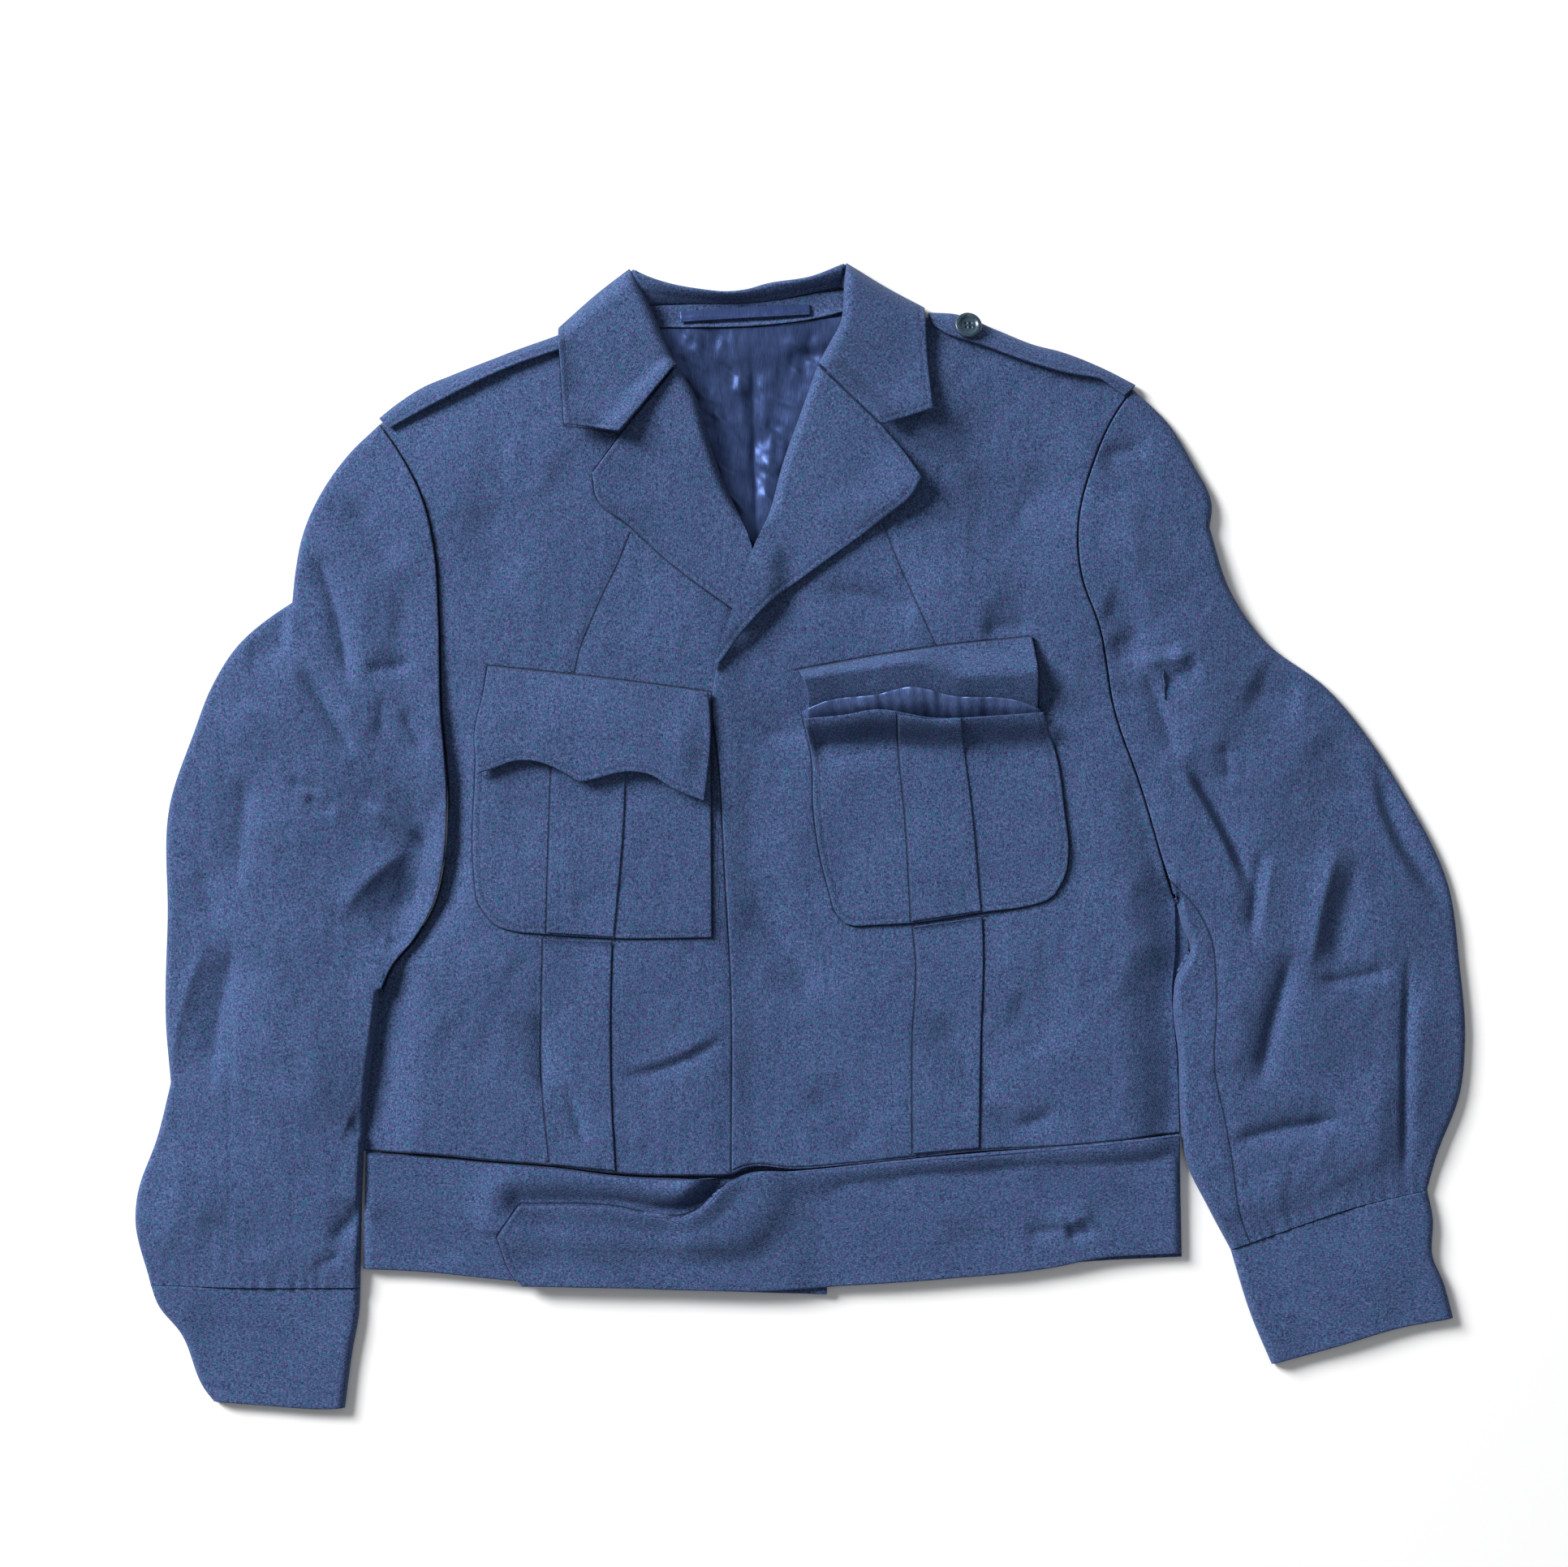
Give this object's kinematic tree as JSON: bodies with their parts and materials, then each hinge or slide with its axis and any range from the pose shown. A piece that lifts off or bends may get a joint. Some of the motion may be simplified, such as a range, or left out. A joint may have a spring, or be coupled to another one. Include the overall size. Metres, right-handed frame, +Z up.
{
  "type": "battledress jacket",
  "caption": "Waist-length battledress jacket of blue-grey wool serge, laid flat, with notched collar, shoulder straps, pleated patch pockets, pointed waistband tab and banded cuffs.",
  "frame": {"origin": "centre of the bounding box in plan, on the surface that the jacket lies on", "axes": "+Z up off the surface, +X towards the wearer's left sleeve, +Y from the hem towards the neck"},
  "size_m": [0.8207, 0.707, 0.022],
  "materials": {
    "serge": "matte",
    "satin": "satin",
    "tape": "satin",
    "button": "gloss"
  },
  "bodies": {
    "root": {"back": "serge", "waistband_back": "serge", "collar_back": "serge", "back_facing": "serge", "front_right": "serge", "front_left": "serge", "tuck_right": "serge", "tuck_left": "serge", "sleeve_right": "serge", "sleeve_left": "serge", "cuff_right": "serge", "cuff_left": "serge", "collar_right": "serge", "collar_left": "serge", "lapel_right": "serge", "lapel_left": "serge", "pocket_right": "serge", "pocket_left": "serge", "pocket_pleat_right": "serge", "pocket_pleat_left": "serge", "flap_right": "serge", "flap_left": "serge", "waistband_right": "serge", "waistband_left": "serge", "shoulder_strap_right": "serge", "shoulder_strap_left": "serge", "back_lining": "satin", "pocket_lining_left": "satin", "hanger_tape": "tape", "button_left": "button"}
  },
  "joints": []
}
